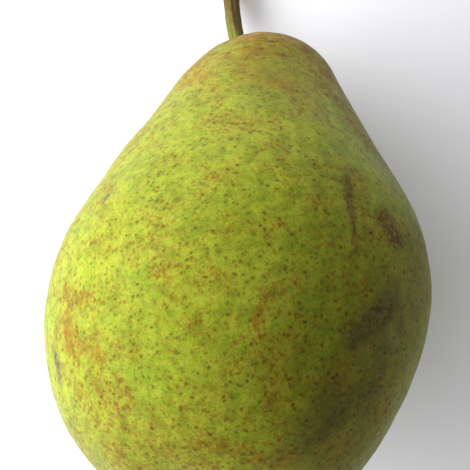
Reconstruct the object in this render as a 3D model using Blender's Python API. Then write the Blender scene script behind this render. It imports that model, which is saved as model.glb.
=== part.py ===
"""A picked green pear lying on its side, with its woody stem and the dried calyx in its eye.

The pear is shaped standing on its eye, around the Z axis, and its pieces hang on one empty. The empty then
lays the pear down the way its own weight would: on its side, with its centre of mass over the spot it rests on.
"""

import math

import bmesh
import bpy
import numpy as np
from mathutils import Matrix, Vector

MM = 0.001

# The fruit's outline, turned about the core line. Heights are measured from the rim of the eye.
BELLY_RADIUS = 37.8 * MM
BELLY_HEIGHT = 40.0 * MM
PEAR_LENGTH = 101.0 * MM
HEAD_RADIUS = 17.5 * MM
HEAD_BLEND_ANGLE = math.radians(29.0)  # above the head's level centre, where the flank runs into the head
BASE_REACH = 0.67  # how far the blunt base runs out before it turns up, as a share of the way to the belly
BELLY_DROP = 0.41  # how far the belly's upright stretch runs down, as a share of its height
BELLY_RISE = 0.27  # how far the belly's upright stretch runs up, as a share of the flank
NECK_REACH = 0.57  # how far the neck's straight stretch runs down, as a share of the flank

# The core line sways sideways, so that one shoulder is fuller than the other.
BASE_SWAY = 0.2 * MM
BELLY_SWAY = 0.5 * MM
SHOULDER_SWAY = 2.4 * MM
SHOULDER_ABOVE_BELLY = 18.0 * MM
NECK_SWAY = 0.1 * MM
NECK_BELOW_TOP = 11.0 * MM
HEAD_SWAY = 0.3 * MM

# The eye: a shallow basin in the base with a flat floor.
EYE_RADIUS = 9.5 * MM
EYE_FLOOR_RADIUS = 3.2 * MM
EYE_DEPTH = 3.5 * MM

# The stem leaves the head to one side, on its underside, and droops to just above the ground.
STEM_RADIUS = 1.6 * MM
STEM_FOOT_RADIUS = 1.9 * MM
STEM_KNOB_RADIUS = 2.3 * MM
STEM_KNOB_LENGTH = 2.6 * MM
STEM_REACH = 18.5 * MM  # from the seat to the tip, seen from above
STEM_SIDE_ANGLE = math.radians(19.0)  # of the seat, from the core line towards -X
STEM_DROP_ANGLE = math.radians(16.0)  # of the seat, from the core line towards the ground
STEM_TIP_HEADING = math.radians(8.0)  # of the tip, from the lying pear's length towards -X
STEM_GROUND_GAP = 0.5 * MM
SOCKET_DEPTH = 1.5 * MM

# The dried calyx.
SEPAL_COUNT = 5
SEPAL_ROOT_RADIUS = 2.4 * MM
SEPAL_WIDTH = 2.1 * MM
SEPAL_THICKNESS = 0.5 * MM
SEPAL_HEIGHT = 4.0 * MM
SEPAL_SPREAD = 3.0 * MM
TUFT_RADIUS = 1.5 * MM
TUFT_HEIGHT = 2.2 * MM

FIT_GAP = 0.3 * MM  # left open between pieces that touch
REST_FLAT_DEPTH = 0.5 * MM  # how much of the skin is pressed flat where the pear lies

FRUIT_SIDES = 56
OUTLINE_STEPS = 16
TILT_STEPS = 901
STEM_SIDES = 14
STEM_STEPS = 22
SEPAL_SIDES = 8
SEPAL_STEPS = 9
TUFT_SIDES = 15
TUFT_STEPS = 6
CUTTER_SIDES = 40

COLOURS = {
    "fruit": (0.42, 0.47, 0.06),
    "stem": (0.20, 0.15, 0.06),
    "sepal": (0.09, 0.06, 0.035),
    "tuft": (0.06, 0.04, 0.025),
}
ROUGHNESS = {"fruit": 0.42, "stem": 0.7, "sepal": 0.85, "tuft": 0.9}


def clear_scene():
    for item in list(bpy.data.objects):
        bpy.data.objects.remove(item, do_unlink=True)


def material(kind):
    found = bpy.data.materials.get(kind)
    if found:
        return found
    made = bpy.data.materials.new(kind)
    made.use_nodes = True
    shader = made.node_tree.nodes["Principled BSDF"]
    shader.inputs["Base Color"].default_value = (*COLOURS[kind], 1.0)
    shader.inputs["Roughness"].default_value = ROUGHNESS[kind]
    shader.inputs["Metallic"].default_value = 0.0
    return made


def bezier(corners, steps):
    """Points on the cubic curve with these four control points, both ends included."""
    t = np.linspace(0.0, 1.0, steps + 1)[:, None]
    a, b, c, d = (np.array(corner, float) for corner in corners)
    return (1 - t) ** 3 * a + 3 * (1 - t) ** 2 * t * b + 3 * (1 - t) * t**2 * c + t**3 * d


def smooth_through(knots, values, places):
    """A smooth curve through a few values: a cubic between each two, with slopes from their neighbours."""
    slopes = np.gradient(np.array(values, float), np.array(knots, float))
    places = np.clip(places, knots[0], knots[-1])
    i = np.clip(np.searchsorted(knots, places, side="right") - 1, 0, len(knots) - 2)
    k0, k1 = np.take(knots, i), np.take(knots, i + 1)
    v0, v1 = np.take(values, i), np.take(values, i + 1)
    m0, m1 = np.take(slopes, i), np.take(slopes, i + 1)
    w = k1 - k0
    t = (places - k0) / w
    rise = (2 * t**3 - 3 * t**2 + 1) * v0 + (3 * t**2 - 2 * t**3) * v1
    return rise + (t**3 - 2 * t**2 + t) * w * m0 + (t**3 - t**2) * w * m1


def eye_wall():
    """The outline (radius, height) of the eye's wall, from its floor out to the rim."""
    bend = 0.45 * (EYE_RADIUS - EYE_FLOOR_RADIUS)
    return bezier(
        (
            (EYE_FLOOR_RADIUS, EYE_DEPTH),
            (EYE_FLOOR_RADIUS + bend, EYE_DEPTH),
            (EYE_RADIUS - bend, 0.0),
            (EYE_RADIUS, 0.0),
        ),
        OUTLINE_STEPS // 2,
    )


def fruit_outline():
    """The outline (radius, height) of the fruit: eye wall, blunt base, flank and round head."""
    head_centre = PEAR_LENGTH - HEAD_RADIUS
    blend = np.array(
        (
            HEAD_RADIUS * math.cos(HEAD_BLEND_ANGLE),
            head_centre + HEAD_RADIUS * math.sin(HEAD_BLEND_ANGLE),
        )
    )
    up_the_neck = np.array((-math.sin(HEAD_BLEND_ANGLE), math.cos(HEAD_BLEND_ANGLE)))
    flank_length = math.dist(blend, (BELLY_RADIUS, BELLY_HEIGHT))
    base = bezier(
        (
            (EYE_RADIUS, 0.0),
            (EYE_RADIUS + BASE_REACH * (BELLY_RADIUS - EYE_RADIUS), 0.0),
            (BELLY_RADIUS, BELLY_HEIGHT * (1.0 - BELLY_DROP)),
            (BELLY_RADIUS, BELLY_HEIGHT),
        ),
        OUTLINE_STEPS,
    )
    flank = bezier(
        (
            (BELLY_RADIUS, BELLY_HEIGHT),
            (BELLY_RADIUS, BELLY_HEIGHT + BELLY_RISE * flank_length),
            blend - NECK_REACH * flank_length * up_the_neck,
            blend,
        ),
        OUTLINE_STEPS,
    )
    turn = np.linspace(HEAD_BLEND_ANGLE, math.pi / 2, OUTLINE_STEPS // 2 + 2)[:-1]
    head = np.stack((HEAD_RADIUS * np.cos(turn), head_centre + HEAD_RADIUS * np.sin(turn)), axis=1)
    return np.concatenate((eye_wall()[:-1], base[:-1], flank[:-1], head))


def core_sway(heights):
    """How far the core line stands to +X at these heights."""
    shoulder_height = BELLY_HEIGHT + SHOULDER_ABOVE_BELLY
    neck_height = PEAR_LENGTH - NECK_BELOW_TOP
    knots = (0.0, BELLY_HEIGHT, shoulder_height, neck_height, PEAR_LENGTH)
    sways = (BASE_SWAY, BELLY_SWAY, SHOULDER_SWAY, NECK_SWAY, HEAD_SWAY)
    return smooth_through(knots, sways, heights)


def touching_tilt(outline):
    """How far the head end dips when the belly and the head both touch the ground."""
    tilts = np.linspace(0.0, math.pi / 2, TILT_STEPS)[:, None]
    reach = outline[:, 0] * np.cos(tilts) + outline[:, 1] * np.sin(tilts)
    lowest = outline[np.argmax(reach, axis=1), 1]
    on_the_head = lowest > PEAR_LENGTH - HEAD_RADIUS
    return float(tilts[np.argmax(on_the_head), 0])


def resting_tilt(outline):
    """How far the head end dips when the pear lies down.

    The skin's normal at the contact then passes through the centre of mass, unless the head touches the ground
    first. Below, each slice of the outline is a cone, and foot is where the normal at each outline point meets
    the core line.
    """
    r0, r1 = outline[:-1, 0], outline[1:, 0]
    h0, h1 = outline[:-1, 1], outline[1:, 1]
    volume = (h1 - h0) * (r0**2 + r0 * r1 + r1**2) / 3.0
    low_share = h0 * (3 * r0**2 + 2 * r0 * r1 + r1**2)
    high_share = h1 * (r0**2 + 2 * r0 * r1 + 3 * r1**2)
    moment = (h1 - h0) * (low_share + high_share) / 12.0
    mass_height = moment.sum() / volume.sum()
    above = outline[outline[:, 1] > BELLY_HEIGHT]
    slope = np.gradient(above[:, 0], above[:, 1])
    foot = above[:, 1] + above[:, 0] * slope
    crossing = int(np.argmax((foot[:-1] <= mass_height) & (foot[1:] > mass_height)))
    share = (mass_height - foot[crossing]) / (foot[crossing + 1] - foot[crossing])
    balanced = math.atan(-(slope[crossing] + share * (slope[crossing + 1] - slope[crossing])))
    return min(balanced, touching_tilt(outline))


def skin(name, kind, rings, first_pole, last_pole, parent):
    """One closed body over rings of points, with a fan to a pole at each end, as an object under parent."""
    steps, sides = rings.shape[:2]
    mesh = bmesh.new()
    points = [[mesh.verts.new(point) for point in ring] for ring in rings]
    first = mesh.verts.new(first_pole)
    last = mesh.verts.new(last_pole)
    for i in range(sides):
        j = (i + 1) % sides
        mesh.faces.new((first, points[0][i], points[0][j]))
        mesh.faces.new((last, points[-1][j], points[-1][i]))
        for k in range(steps - 1):
            mesh.faces.new((points[k][i], points[k + 1][i], points[k + 1][j], points[k][j]))
    bmesh.ops.recalc_face_normals(mesh, faces=mesh.faces)
    data = bpy.data.meshes.new(name)
    mesh.to_mesh(data)
    mesh.free()
    data.shade_smooth()
    data.materials.append(material(kind))
    made = bpy.data.objects.new(name, data)
    bpy.context.collection.objects.link(made)
    made.parent = parent
    return made


def add_fruit(parent, outline):
    """The outline turned about the swaying core line, closed by the eye's flat floor and the top of the head."""
    turn = np.linspace(0.0, 2 * math.pi, FRUIT_SIDES, endpoint=False)
    radius, height = outline[:, :1], outline[:, 1:]
    sway = core_sway(height)
    rings = np.stack(
        (radius * np.cos(turn) + sway, radius * np.sin(turn), height + 0 * turn), axis=-1
    )
    floor_middle = (float(core_sway(EYE_DEPTH)), 0.0, EYE_DEPTH)
    head_top = (float(core_sway(PEAR_LENGTH)), 0.0, PEAR_LENGTH)
    return skin("fruit", "fruit", rings, floor_middle, head_top, parent)


def lie_down(empty, fruit, tilt):
    """Turns the empty so that the head points to +Y and dips, and sinks the skin by the pressed flat's depth."""
    turn = Matrix.Rotation(-(math.pi / 2 + tilt), 4, "X")
    lowest = min((turn @ vertex.co).z for vertex in fruit.data.vertices)
    empty.matrix_world = Matrix.Translation((0.0, 0.0, -lowest - REST_FLAT_DEPTH)) @ turn
    bpy.context.view_layer.update()


def stem_seat():
    """Where the stem meets the head, and which way it leaves, on the standing pear."""
    outward = Vector((-math.sin(STEM_SIDE_ANGLE), math.sin(STEM_DROP_ANGLE), 0.0))
    outward.z = math.sqrt(1.0 - outward.length_squared)
    head_centre = Vector((float(core_sway(PEAR_LENGTH)), 0.0, PEAR_LENGTH - HEAD_RADIUS))
    return head_centre + outward * HEAD_RADIUS, outward


def stem_path(empty):
    """The stem's centre line on the standing pear: out of its socket, then down to run just above the ground."""
    seat, outward = stem_seat()
    start = empty.matrix_world @ (seat - outward * (SOCKET_DEPTH - FIT_GAP))
    heading = (empty.matrix_world.to_3x3() @ outward).normalized()
    along = Vector((-math.sin(STEM_TIP_HEADING), math.cos(STEM_TIP_HEADING), 0.0))
    flat_heading = Vector((heading.x, heading.y, 0.0)).normalized()
    tip = start + (flat_heading + along).normalized() * STEM_REACH
    tip.z = STEM_KNOB_RADIUS + STEM_GROUND_GAP
    bend = STEM_REACH * 0.4
    path = bezier((start, start + heading * bend, tip - along * bend, tip), STEM_STEPS)
    path[:, 2] = np.maximum(path[:, 2], tip.z)
    to_standing = empty.matrix_world.inverted()
    return np.array([to_standing @ Vector(point) for point in path])


def add_stem(parent):
    """A tube along the path: a wide foot, a slim shank and a thick knob where it broke off the twig."""
    path = stem_path(parent)
    ahead = np.gradient(path, axis=0)
    ahead /= np.linalg.norm(ahead, axis=1, keepdims=True)
    side = np.cross(ahead, (1.0, 0.0, 0.0))
    side /= np.linalg.norm(side, axis=1, keepdims=True)
    other = np.cross(ahead, side)
    steps = np.linalg.norm(np.diff(path, axis=0), axis=1)
    run = np.concatenate(((0.0,), np.cumsum(steps)))
    foot = (STEM_FOOT_RADIUS - STEM_RADIUS) * np.exp(-run / STEM_FOOT_RADIUS)
    knob_run = (run[-1] - run) / STEM_KNOB_LENGTH
    knob = (STEM_KNOB_RADIUS - STEM_RADIUS) * np.exp(-(knob_run**2))
    radius = (STEM_RADIUS + foot + knob)[:, None, None]
    turn = np.linspace(0.0, 2 * math.pi, STEM_SIDES, endpoint=False)[None, :, None]
    around = np.cos(turn) * side[:, None, :] + np.sin(turn) * other[:, None, :]
    rings = path[:, None, :] + radius * around
    return skin("stem", "stem", rings, path[0], path[-1], parent)


def add_sepal(name, parent, angle):
    """A pointed leaf of lens section that stands up from the eye's floor and bends outwards."""
    middle = bezier(
        (
            (SEPAL_ROOT_RADIUS, FIT_GAP),
            (SEPAL_ROOT_RADIUS, 0.6 * SEPAL_HEIGHT),
            (SEPAL_ROOT_RADIUS + 0.3 * SEPAL_SPREAD, SEPAL_HEIGHT),
            (SEPAL_ROOT_RADIUS + SEPAL_SPREAD, SEPAL_HEIGHT),
        ),
        SEPAL_STEPS,
    )
    ahead = np.gradient(middle, axis=0)
    ahead /= np.linalg.norm(ahead, axis=1, keepdims=True)
    share = np.linspace(0.0, 1.0, SEPAL_STEPS + 1)
    half_width = 0.5 * SEPAL_WIDTH * (1.0 - 0.85 * share**1.6)
    half_thick = 0.5 * SEPAL_THICKNESS * (1.0 - 0.5 * share)
    turn = np.linspace(0.0, 2 * math.pi, SEPAL_SIDES, endpoint=False)
    across = half_width[:, None] * np.cos(turn)
    through = half_thick[:, None] * np.sin(turn)
    reach = middle[:, :1] + through * ahead[:, 1:]
    rise = middle[:, 1:] - through * ahead[:, :1]
    radial = np.array((math.cos(angle), math.sin(angle), 0.0))
    sideways = np.array((-math.sin(angle), math.cos(angle), 0.0))
    outwards = np.array((0.0, 0.0, -1.0))
    floor = np.array((float(core_sway(EYE_DEPTH)), 0.0, EYE_DEPTH))

    def place(reach_out, up, aside):
        spread = reach_out[..., None] * radial + aside[..., None] * sideways
        return floor + spread + up[..., None] * outwards

    rings = place(reach, rise, across)
    ends = place(middle[[0, -1], 0], middle[[0, -1], 1], np.zeros(2))
    return skin(name, "sepal", rings, ends[0], ends[1], parent)


def add_tuft(parent):
    """The dried stamens as one ribbed dome in the middle of the eye."""
    share = np.linspace(0.0, 1.0, TUFT_STEPS)[:, None]
    turn = np.linspace(0.0, 2 * math.pi, TUFT_SIDES, endpoint=False)
    ribs = 1.0 - 0.12 * (1.0 - np.cos(SEPAL_COUNT * turn)) / 2.0
    radius = TUFT_RADIUS * (0.75 + 0.25 * np.sin(share * math.pi)) * (1.0 - 0.35 * share) * ribs
    height = EYE_DEPTH - FIT_GAP - share * TUFT_HEIGHT + 0 * turn
    middle = float(core_sway(EYE_DEPTH))
    rings = np.stack((radius * np.cos(turn) + middle, radius * np.sin(turn), height), axis=-1)
    first = (middle, 0.0, EYE_DEPTH - FIT_GAP)
    last = (middle, 0.0, EYE_DEPTH - FIT_GAP - TUFT_HEIGHT)
    return skin("stamens", "tuft", rings, first, last, parent)


def cutter(name, mesh):
    data = bpy.data.meshes.new(name)
    mesh.to_mesh(data)
    mesh.free()
    made = bpy.data.objects.new(name, data)
    bpy.context.collection.objects.link(made)
    made.hide_render = True
    made.display_type = "WIRE"
    return made


def cut(target, tool):
    boolean = target.modifiers.new(tool.name, "BOOLEAN")
    boolean.operation = "DIFFERENCE"
    boolean.object = tool


def cut_stem_socket(fruit, parent):
    """A round socket in the head that clears the stem's foot."""
    seat, outward = stem_seat()
    mouth_clearance = SOCKET_DEPTH
    radius = STEM_FOOT_RADIUS + FIT_GAP
    depth = SOCKET_DEPTH + mouth_clearance
    mesh = bmesh.new()
    bmesh.ops.create_cone(
        mesh, cap_ends=True, segments=CUTTER_SIDES, radius1=radius, radius2=radius, depth=depth
    )
    middle = seat + outward * (0.5 * depth - SOCKET_DEPTH)
    turn = outward.to_track_quat("Z", "Y").to_matrix().to_4x4()
    bmesh.ops.transform(mesh, matrix=Matrix.Translation(middle) @ turn, verts=mesh.verts)
    tool = cutter("stem_socket_cutter", mesh)
    tool.parent = parent
    cut(fruit, tool)


def cut_rest_flat(fruit):
    """The patch of skin pressed flat on the ground, cut by a block whose top is the ground plane."""
    side = 3.0 * PEAR_LENGTH
    mesh = bmesh.new()
    bmesh.ops.create_cube(mesh, size=side)
    bmesh.ops.translate(mesh, vec=(0.0, 0.0, -0.5 * side), verts=mesh.verts)
    cut(fruit, cutter("ground_cutter", mesh))


def centre_on_origin(empty, pieces):
    """Slides the empty along the ground until the box around all pieces has its middle on the Z axis."""
    corners = [piece.matrix_world @ vertex.co for piece in pieces for vertex in piece.data.vertices]
    for axis in range(2):
        values = [corner[axis] for corner in corners]
        empty.location[axis] -= 0.5 * (min(values) + max(values))
    bpy.context.view_layer.update()


def main():
    clear_scene()
    empty = bpy.data.objects.new("lying_pear", None)
    bpy.context.collection.objects.link(empty)
    outline = fruit_outline()
    fruit = add_fruit(empty, outline)
    lie_down(empty, fruit, resting_tilt(outline))
    pieces = [fruit, add_stem(empty), add_tuft(empty)]
    for i in range(SEPAL_COUNT):
        angle = 2 * math.pi * (i + 0.5) / SEPAL_COUNT
        pieces.append(add_sepal(f"sepal_{i + 1}", empty, angle))
    bpy.context.view_layer.update()
    centre_on_origin(empty, pieces)
    cut_stem_socket(fruit, empty)
    cut_rest_flat(fruit)


main()
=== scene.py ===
"""The finished look of a picked green pear, lying on its side on pale paper.

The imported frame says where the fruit, the stem, the sepals and the stamens are. Each is covered here by a
fine skin with its own finish. The fruit is worked out standing on its eye, around the Z axis, and is then
laid down so that it fills the frame's fruit. Sizes are in metres. A finish's own distances, and the places
of marks on the skin, are in millimetres.
"""

import math

import bpy
import numpy as np
from bpy.props import FloatProperty, FloatVectorProperty, IntProperty, PointerProperty
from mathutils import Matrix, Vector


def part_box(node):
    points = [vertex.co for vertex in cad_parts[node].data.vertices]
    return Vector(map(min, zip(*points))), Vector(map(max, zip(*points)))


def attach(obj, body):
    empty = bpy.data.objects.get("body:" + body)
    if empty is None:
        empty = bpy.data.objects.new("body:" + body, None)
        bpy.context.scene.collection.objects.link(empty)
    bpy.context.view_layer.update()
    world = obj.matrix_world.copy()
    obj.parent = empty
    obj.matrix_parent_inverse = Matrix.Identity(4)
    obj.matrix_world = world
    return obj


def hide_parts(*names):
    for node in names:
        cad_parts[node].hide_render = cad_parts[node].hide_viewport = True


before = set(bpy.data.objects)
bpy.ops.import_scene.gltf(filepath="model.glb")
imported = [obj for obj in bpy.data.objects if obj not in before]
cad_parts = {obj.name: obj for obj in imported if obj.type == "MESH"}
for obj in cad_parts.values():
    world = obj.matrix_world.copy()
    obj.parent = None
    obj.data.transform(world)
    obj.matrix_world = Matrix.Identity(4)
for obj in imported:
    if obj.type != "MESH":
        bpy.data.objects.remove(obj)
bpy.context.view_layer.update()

bl_info = {
    "name": "Green Pear",
    "version": (1, 0, 0),
    "blender": (4, 5, 0),
    "location": "View3D > Sidebar > Pear",
    "description": "Grows a picked green pear with its stem and dried calyx, and sets the stage for it",
    "category": "Add Mesh",
}

MM = 0.001
UP = np.array((0.0, 0.0, 1.0))
GOLDEN_ANGLE = math.pi * (3.0 - math.sqrt(5.0))

# How finely each piece is divided, along it and around it.
FRUIT_RINGS = 262
FRUIT_SIDES = 352
STEM_RINGS = 240
STEM_SIDES = 72
STEM_END_RINGS = 12
SEPAL_RINGS = 36
SEPAL_SIDES = 28
THREAD_RINGS = 12
THREAD_SIDES = 8

# How far the core line stands to +X at the eye, the belly, the shoulder, the neck and the top.
CORE_SWAYS = (0.2 * MM, 0.5 * MM, 2.4 * MM, 0.1 * MM, 0.3 * MM)
SHOULDER_ABOVE_BELLY = 18.0 * MM
NECK_BELOW_TOP = 11.0 * MM

# The eye's floor starts this far from its middle, and its wall bends over this share of its width.
EYE_MIDDLE_RADIUS = 0.1 * MM
EYE_WALL_BEND = 0.45

# The flesh's unevenness: soft lobes around the eye, long and short waves all over, and a collar inside a
# shallow ring around the stem's foot.
LOBE_COUNT = 5
LOBE_TURN = 0.6
LOBE_LIFT = 0.45 * MM
LOBE_PLACE = 13 * MM
LOBE_REACH = 9 * MM
UNEVEN_LIFT = 0.5 * MM
DIMPLE_LIFT = 0.10 * MM
COLLAR_LIFT = 0.9 * MM
COLLAR_REACH = 3.0 * MM
RING_DEPTH = 0.35 * MM
RING_PLACE = 6.5 * MM
RING_REACH = 2.6 * MM

# The stem: its bend as a share of its reach, its flared foot, its two sets of ribs, its lumps and its end.
STEM_BEND = 0.4
FLARE_REACH = 2.4 * MM
RIB_LIFT = 0.07 * MM
RIB_TWIST = 9 * MM
FINE_RIB_LIFT = 0.04 * MM
FINE_RIB_TWIST = 6 * MM
LUMP_LIFT = 0.28 * MM
END_RISE = 0.55 * MM
END_SINK = 0.25 * MM

# The dried flower: the sepals' thickness, ripple and lift off the floor, and the stamens' threads.
SEPAL_HALF_THICKNESS = 0.16 * MM
SEPAL_RIPPLE = 0.06 * MM
SEPAL_LIFT = 0.1 * MM
TUFT_RADIUS = 1.7 * MM
THREAD_RADIUS = 0.10 * MM
THREAD_HEAD_RADIUS = 0.14 * MM
THREAD_SWAY = 0.5 * MM
THREAD_SUNK = 0.15 * MM

# The skin's pattern: how large or how far apart its parts are, in mm, and how far russet reaches from the
# head and from the eye.
DRIFT_SIZE = 16.0
MOTTLE_SIZE = 2.6
CLOUD_SIZE = 6.5
GRAIN_SIZE = 0.8
SPECKLE_SIZE = 0.75
POWDER_SIZE = 0.38
DOT_SPACING = 1.35
LONG_DOT_SPACING = 1.15
DOT_RADIUS = 0.56
SPECK_SPACING = 0.95
SPECK_RADIUS = 0.36
HEAD_RUSSET_REACH = 40.0
EYE_RUSSET_REACH = 38.0

# The stage: the sheet's half side, how far it lies under the pear, and the camera's fixed parts.
PAPER_HALF_SIDE = 2.5
PAPER_DROP = 0.05 * MM
SENSOR_WIDTH_MM = 36.0
NEAR_CLIP = 0.01


def length(name, description, default):
    return FloatProperty(
        name=name, description=description, default=default, unit="LENGTH", precision=5
    )


def angle(name, description, degrees):
    return FloatProperty(
        name=name,
        description=description,
        default=math.radians(degrees),
        unit="ROTATION",
        subtype="ANGLE",
    )


def share(name, description, default):
    return FloatProperty(name=name, description=description, default=default, min=0.0, max=1.0)


def colour(name, description, default):
    return FloatVectorProperty(
        name=name, description=description, default=default, subtype="COLOR", size=3, min=0.0, max=1.0
    )


class PearSizes(bpy.types.PropertyGroup):
    """The sizes of the fruit and of what grows on it."""

    belly_radius: length("Belly radius", "Half the pear's greatest width", 37.8 * MM)
    belly_height: length("Belly height", "From the rim of the eye up to the widest place", 40.0 * MM)
    pear_length: length("Length", "From the rim of the eye to the top of the head", 101.0 * MM)
    head_radius: length("Head radius", "The round of the head", 17.5 * MM)
    head_blend: angle("Head blend", "Where the flank runs into the head, above its level centre", 29.0)
    base_reach: share("Base bluntness", "How far the base runs out before it turns up", 0.67)
    belly_drop: share("Belly drop", "How far the belly stays upright below its widest place", 0.41)
    belly_rise: share("Belly rise", "How far the belly stays upright above its widest place", 0.27)
    neck_reach: share("Neck reach", "How far the neck stays straight below the head", 0.57)
    eye_radius: length("Eye radius", "The rim of the basin in the base", 9.5 * MM)
    eye_floor_radius: length("Eye floor radius", "The flat floor of the basin", 3.2 * MM)
    eye_depth: length("Eye depth", "How deep the basin is", 3.5 * MM)
    resting_tilt: angle("Resting tilt", "How far the head dips when the pear lies down", 23.06)
    stem_radius: length("Stem radius", "The slim middle of the stem", 1.75 * MM)
    stem_foot_radius: length("Stem foot radius", "The stem where it enters the head", 2.0 * MM)
    stem_knob_radius: length("Stem knob radius", "The thick end that broke off the twig", 2.3 * MM)
    stem_knob_length: length("Stem knob length", "How far the thick end reaches", 2.6 * MM)
    stem_reach: length("Stem reach", "From its foot to its tip, seen from above", 18.5 * MM)
    stem_side: angle("Stem side", "How far the stem's seat lies to -X of the core line", 20.0)
    stem_drop: angle("Stem drop", "How far the stem's seat lies below the core line", 16.0)
    stem_tip_heading: angle("Stem tip heading", "Which way the tip points, to -X of the pear's length", 8.0)
    stem_sunk: length("Stem sunk", "How deep the stem's foot sits in the head", 1.2 * MM)
    stem_ground_gap: length("Stem ground gap", "Left between the knob and the ground", 0.5 * MM)
    sepal_length: length("Sepal length", "From root to tip along the curl", 6.2 * MM)
    sepal_width: length("Sepal width", "At the root", 2.3 * MM)
    sepal_root_radius: length("Sepal root radius", "How far the roots stand from the eye's middle", 2.3 * MM)
    sepal_count: IntProperty(
        name="Sepals", description="Dried leaves around the eye", default=5, min=5, max=5
    )
    stamen_count: IntProperty(
        name="Stamens", description="Dried threads in the eye", default=20, min=5, max=40
    )


class PearColours(bpy.types.PropertyGroup):
    """The colours of the skin, the wood and the dried flower."""

    green: colour("Green", "The greener skin", (0.198, 0.264, 0.012))
    yellow: colour("Yellow", "The riper skin", (0.250, 0.290, 0.018))
    tan: colour("Tan", "The thin veil of russet", (0.230, 0.172, 0.010))
    russet: colour("Russet", "The corky spots and patches", (0.200, 0.100, 0.007))
    lenticel: colour("Lenticel", "Dots on bare skin", (0.046, 0.049, 0.0))
    dot_brown: colour("Brown dot", "Dots amid russet", (0.064, 0.040, 0.0))
    # Partly the skin's own grey, and partly painted shade on the side away from the light and on the neck.
    dull_and_shade: colour("Dull skin", "The greyed side", (0.098, 0.088, 0.007))
    dead: colour("Dead skin", "The floor of the eye", (0.055, 0.034, 0.013))
    # Also the colour of the dark band below the blot, which is partly painted shade.
    stain_and_shade: colour("Stain", "Grey-brown blots", (0.058, 0.041, 0.019))
    rub: colour("Rub", "Red-brown rubs and the bruise", (0.112, 0.042, 0.012))
    scar: colour("Scar", "Healed grey scratches", (0.085, 0.058, 0.040))
    # The brown is laid on the stem's side away from the light: partly older wood, partly painted shade.
    stem_green: colour("Stem green", "The young side of the stem", (0.150, 0.150, 0.012))
    stem_brown: colour("Stem brown", "The woody side of the stem", (0.105, 0.068, 0.016))
    cork: colour("Cork", "The broken end of the stem", (0.22, 0.15, 0.08))
    sepal: colour("Sepal", "The dried sepals", (0.075, 0.045, 0.024))
    stamen: colour("Stamen", "The dried stamens", (0.05, 0.03, 0.018))
    paper: colour("Paper", "The table's pale sheet", (0.86, 0.855, 0.87))


class PearStage(bpy.types.PropertyGroup):
    """The light and the camera."""

    window_power: FloatProperty(
        name="Window power", description="The big soft light", default=7.9, unit="POWER"
    )
    window_colour: colour("Window colour", "The big soft light", (0.95, 0.96, 1.0))
    window_elevation: angle("Window elevation", "How high the light stands", 27.0)
    window_heading: angle("Window heading", "Which way the light stands from the pear, from +X", 176.0)
    window_distance: length("Window distance", "From the pear to the light", 0.42)
    window_width: length("Window width", "The light's width", 1.2)
    window_height: length("Window height", "The light's height", 0.19)
    room_light: FloatProperty(
        name="Room light", description="The even light from the room", default=0.44, min=0.0
    )
    room_colour: colour("Room colour", "The even light from the room", (1.0, 0.985, 1.0))
    lens: FloatProperty(name="Lens", description="Focal length", default=122.55 * MM, unit="CAMERA")
    camera_place: FloatVectorProperty(
        name="Camera place",
        description="Straight above the pear",
        default=(-0.0023, 0.0004, 0.3577),
        unit="LENGTH",
    )
    camera_roll: angle("Camera roll", "Turned about the line of sight", 8.25)


# --------------------------------------------------------------------------------------------------
# Curves and surfaces


def bezier(corners, steps):
    """Points on the cubic curve with these four control points, both ends included."""
    t = np.linspace(0.0, 1.0, steps + 1)[:, None]
    a, b, c, d = (np.array(corner, float) for corner in corners)
    return (1 - t) ** 3 * a + 3 * (1 - t) ** 2 * t * b + 3 * (1 - t) * t**2 * c + t**3 * d


def smooth_through(knots, values, places):
    """A smooth curve through a few values: a cubic between each two, with slopes from their neighbours.

    On each stretch the value is the sum of the two ends, weighted by smooth steps, and of their slopes.
    """
    slopes = np.gradient(np.array(values, float), np.array(knots, float))
    places = np.clip(places, knots[0], knots[-1])
    i = np.clip(np.searchsorted(knots, places, side="right") - 1, 0, len(knots) - 2)
    k0, k1 = np.take(knots, i), np.take(knots, i + 1)
    v0, v1 = np.take(values, i), np.take(values, i + 1)
    m0, m1 = np.take(slopes, i), np.take(slopes, i + 1)
    w = k1 - k0
    t = (places - k0) / w
    rise = (2 * t**3 - 3 * t**2 + 1) * v0 + (3 * t**2 - 2 * t**3) * v1
    return rise + (t**3 - 2 * t**2 + t) * w * m0 + (t**3 - t**2) * w * m1


def run_along(points):
    """The distance walked along a line of points, from its first."""
    steps = np.linalg.norm(np.diff(points, axis=0), axis=1)
    return np.concatenate(((0.0,), np.cumsum(steps)))


def evenly_spaced(points, count):
    """The same line with this many points at equal steps."""
    run = run_along(points)
    places = np.linspace(0.0, run[-1], count)
    return np.stack([np.interp(places, run, points[:, axis]) for axis in range(points.shape[1])], axis=1)


def unit(vectors):
    """The same directions with a length of one."""
    return vectors / np.linalg.norm(vectors, axis=-1, keepdims=True)


def outward(grid):
    """The direction out of a closed grid of rings: the way around crossed with the way along."""
    along = np.gradient(grid, axis=0)
    around = np.roll(grid, -1, axis=1) - np.roll(grid, 1, axis=1)
    return unit(np.cross(around, along))


def waves(points, longest, shortest, count, seed):
    """A smooth random height in -1 to 1: a sum of sines along fixed random directions, longer ones stronger.

    The wavelengths run evenly, by ratio, from the longest to the shortest.
    """
    draw = np.random.default_rng(seed)
    heading = unit(draw.normal(size=(count, 3)))
    wavelength = np.geomspace(longest, shortest, count)
    phase = draw.uniform(0.0, 2 * math.pi, count)
    strength = wavelength / wavelength.sum()
    return (np.sin(2 * math.pi * (points @ heading.T) / wavelength + phase) * strength).sum(axis=-1)


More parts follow.
